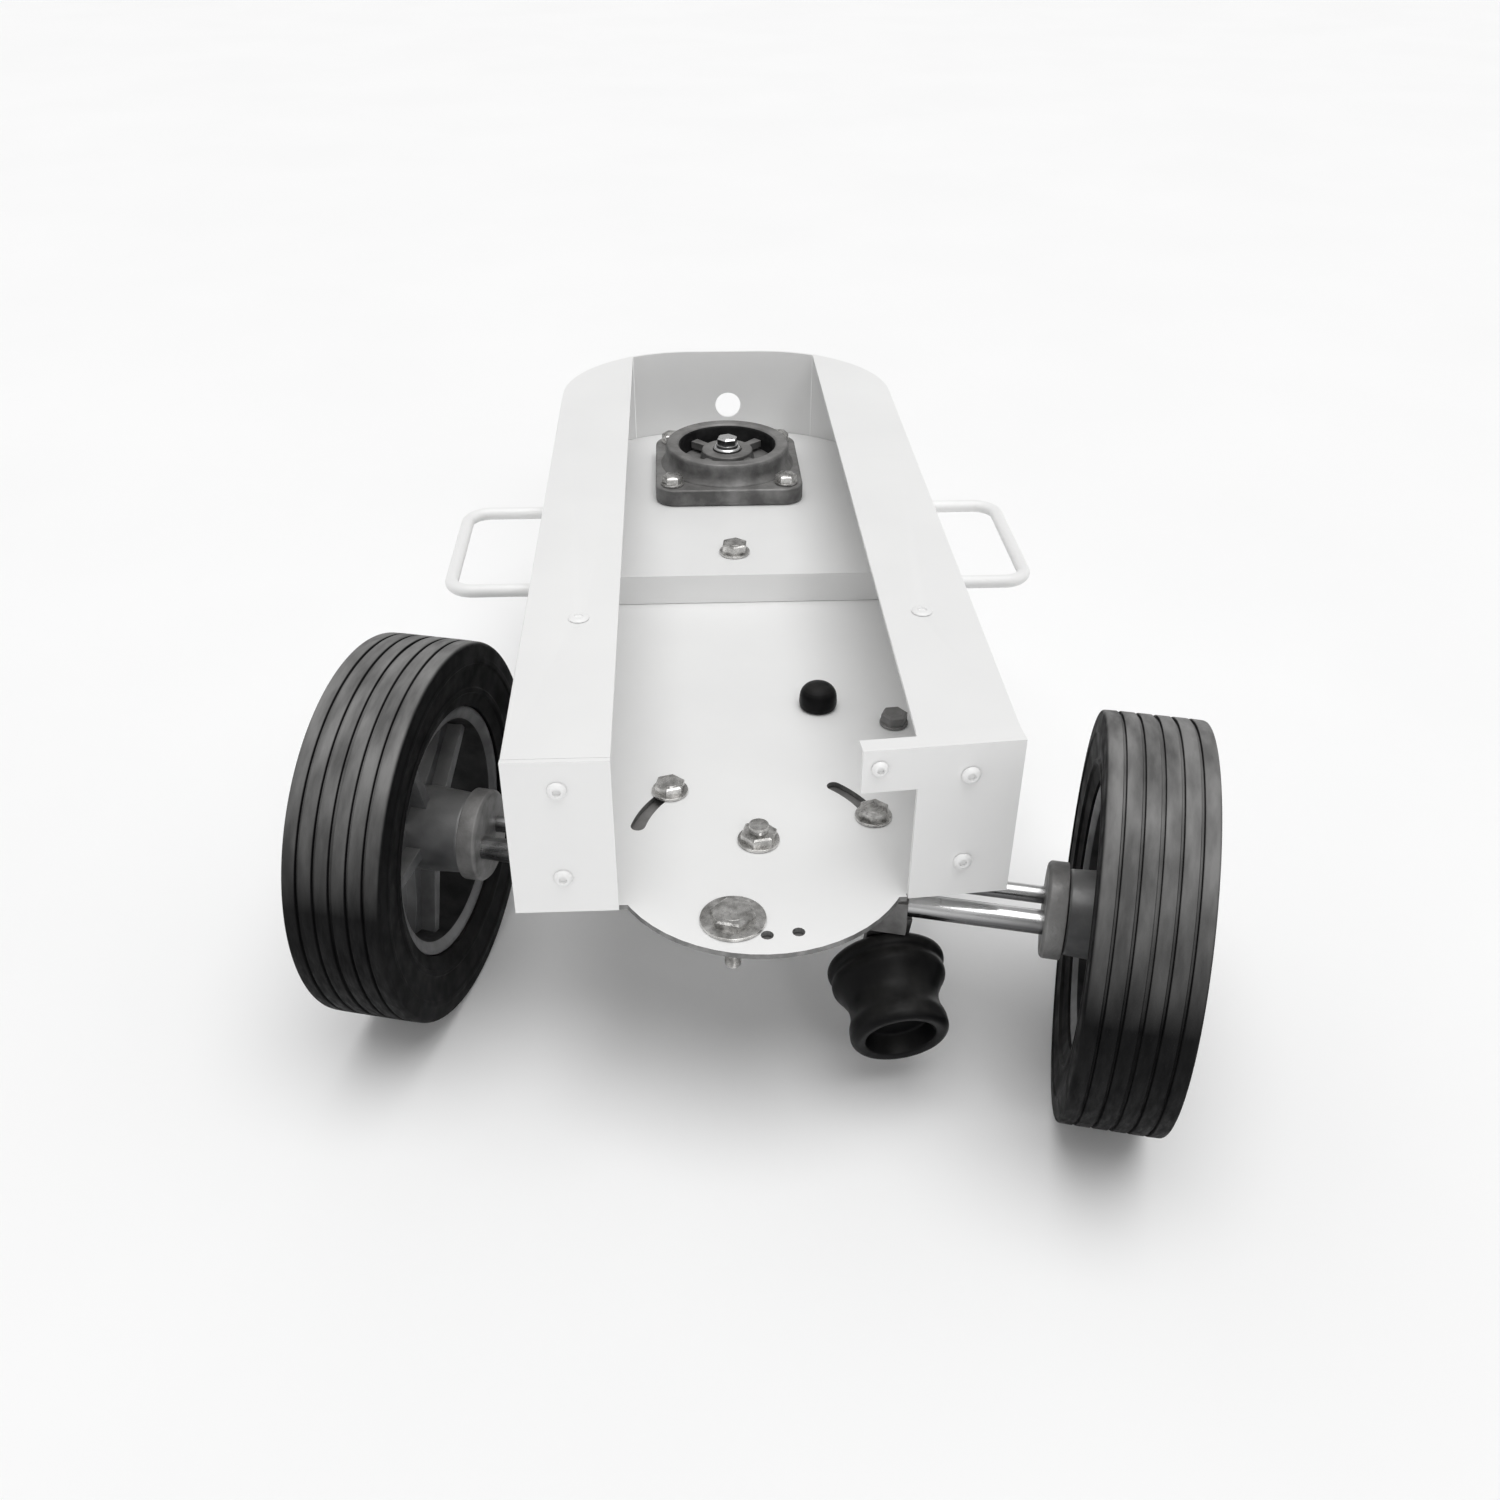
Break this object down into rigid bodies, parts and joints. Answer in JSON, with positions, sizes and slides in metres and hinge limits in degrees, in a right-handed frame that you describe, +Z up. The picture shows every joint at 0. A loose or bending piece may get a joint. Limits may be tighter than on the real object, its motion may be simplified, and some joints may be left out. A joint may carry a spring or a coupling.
{
  "type": "four wheel robot chassis",
  "caption": "Lipped sheet-metal tray with end caps, side handles, a steered front axle with large rubber wheels, and a twin-wheel swivel caster under a flange bearing at the rear.",
  "frame": {"origin": "on the ground, in the middle of the part's outline seen from above, with the front axle steered as at rest", "axes": "+Z up; +Y towards the rear; +X to the right as seen from the front of the robot"},
  "size_m": [0.4498, 0.65, 0.2047],
  "materials": {
    "white_paint": "satin white powder coat",
    "tyre_rubber": "matt",
    "black_rubber": "semi-gloss",
    "dark_iron": "cast, dusty",
    "wheel_grey": "moulded",
    "bright_steel": "turned",
    "zinc": "zinc plated"
  },
  "bodies": {
    "chassis": {"floor_plate": "white_paint", "left_side_shell": "white_paint", "right_side_shell": "white_paint", "rear_panel": "white_paint", "raised_deck": "white_paint", "left_end_cap": "white_paint", "right_end_cap": "white_paint", "left_handle": "white_paint", "right_handle": "white_paint", "bearing_housing": "dark_iron", "bearing_insert": "dark_iron", "bearing_bolt_1": "zinc", "bearing_bolt_2": "zinc", "bearing_bolt_3": "zinc", "bearing_bolt_4": "zinc", "kingpin_bolt": "zinc", "lock_bolt": "zinc", "floor_bolt": "dark_iron", "deck_bolt": "zinc", "rubber_stop": "black_rubber", "left_cap_screw_1": "white_paint", "left_cap_screw_2": "white_paint", "right_cap_screw_1": "white_paint", "right_cap_screw_2": "white_paint", "left_lip_screw": "white_paint", "right_lip_screw": "white_paint", "tab_screw": "white_paint"},
    "steering_axle": {"axle_plate": "dark_iron", "front_rod": "bright_steel", "rear_rod": "bright_steel", "rubber_buffer": "black_rubber", "buffer_bracket": "dark_iron", "buffer_stud": "zinc", "left_guide_bolt": "zinc", "right_guide_bolt": "zinc", "left_axle_saddle": "dark_iron", "right_axle_saddle": "dark_iron", "left_stub_axle": "dark_iron", "right_stub_axle": "dark_iron", "left_axle_nut": "zinc", "right_axle_nut": "zinc"},
    "left_wheel": {"left_tyre": "tyre_rubber", "left_rim": "wheel_grey", "left_inner_bearing": "bright_steel", "left_outer_bearing": "bright_steel"},
    "right_wheel": {"right_tyre": "tyre_rubber", "right_rim": "wheel_grey", "right_inner_bearing": "bright_steel", "right_outer_bearing": "bright_steel"},
    "rear_caster": {"swivel_shaft": "bright_steel", "shaft_cap_screw": "bright_steel", "thrust_bearing": "dark_iron", "caster_fork": "dark_iron", "caster_axle": "zinc"},
    "left_caster_wheel": {"left_caster_tyre": "tyre_rubber", "left_caster_hub": "wheel_grey"},
    "right_caster_wheel": {"right_caster_tyre": "tyre_rubber", "right_caster_hub": "wheel_grey"}
  },
  "joints": [
    {"name": "steering", "type": "hinge", "parent": "chassis", "child": "steering_axle", "pos_m": [0, -0.17702, 0.116], "axis": [0, 0, 1], "range_deg": [-2, 30.8]},
    {"name": "left_wheel_spin", "type": "hinge", "parent": "steering_axle", "child": "left_wheel", "pos_m": [-0.17677, -0.13163, 0.1], "axis": [0.9686, -0.2487, 0], "continuous": true},
    {"name": "right_wheel_spin", "type": "hinge", "parent": "steering_axle", "child": "right_wheel", "pos_m": [0.17677, -0.2224, 0.1], "axis": [0.9686, -0.2487, 0], "continuous": true},
    {"name": "caster_swivel", "type": "hinge", "parent": "chassis", "child": "rear_caster", "pos_m": [0, 0.23298, 0.116], "axis": [0, 0, 1], "continuous": true},
    {"name": "left_caster_spin", "type": "hinge", "parent": "rear_caster", "child": "left_caster_wheel", "pos_m": [-0.0228, 0.26498, 0.045], "axis": [1, 0, 0], "continuous": true},
    {"name": "right_caster_spin", "type": "hinge", "parent": "rear_caster", "child": "right_caster_wheel", "pos_m": [0.0228, 0.26498, 0.045], "axis": [1, 0, 0], "continuous": true}
  ]
}
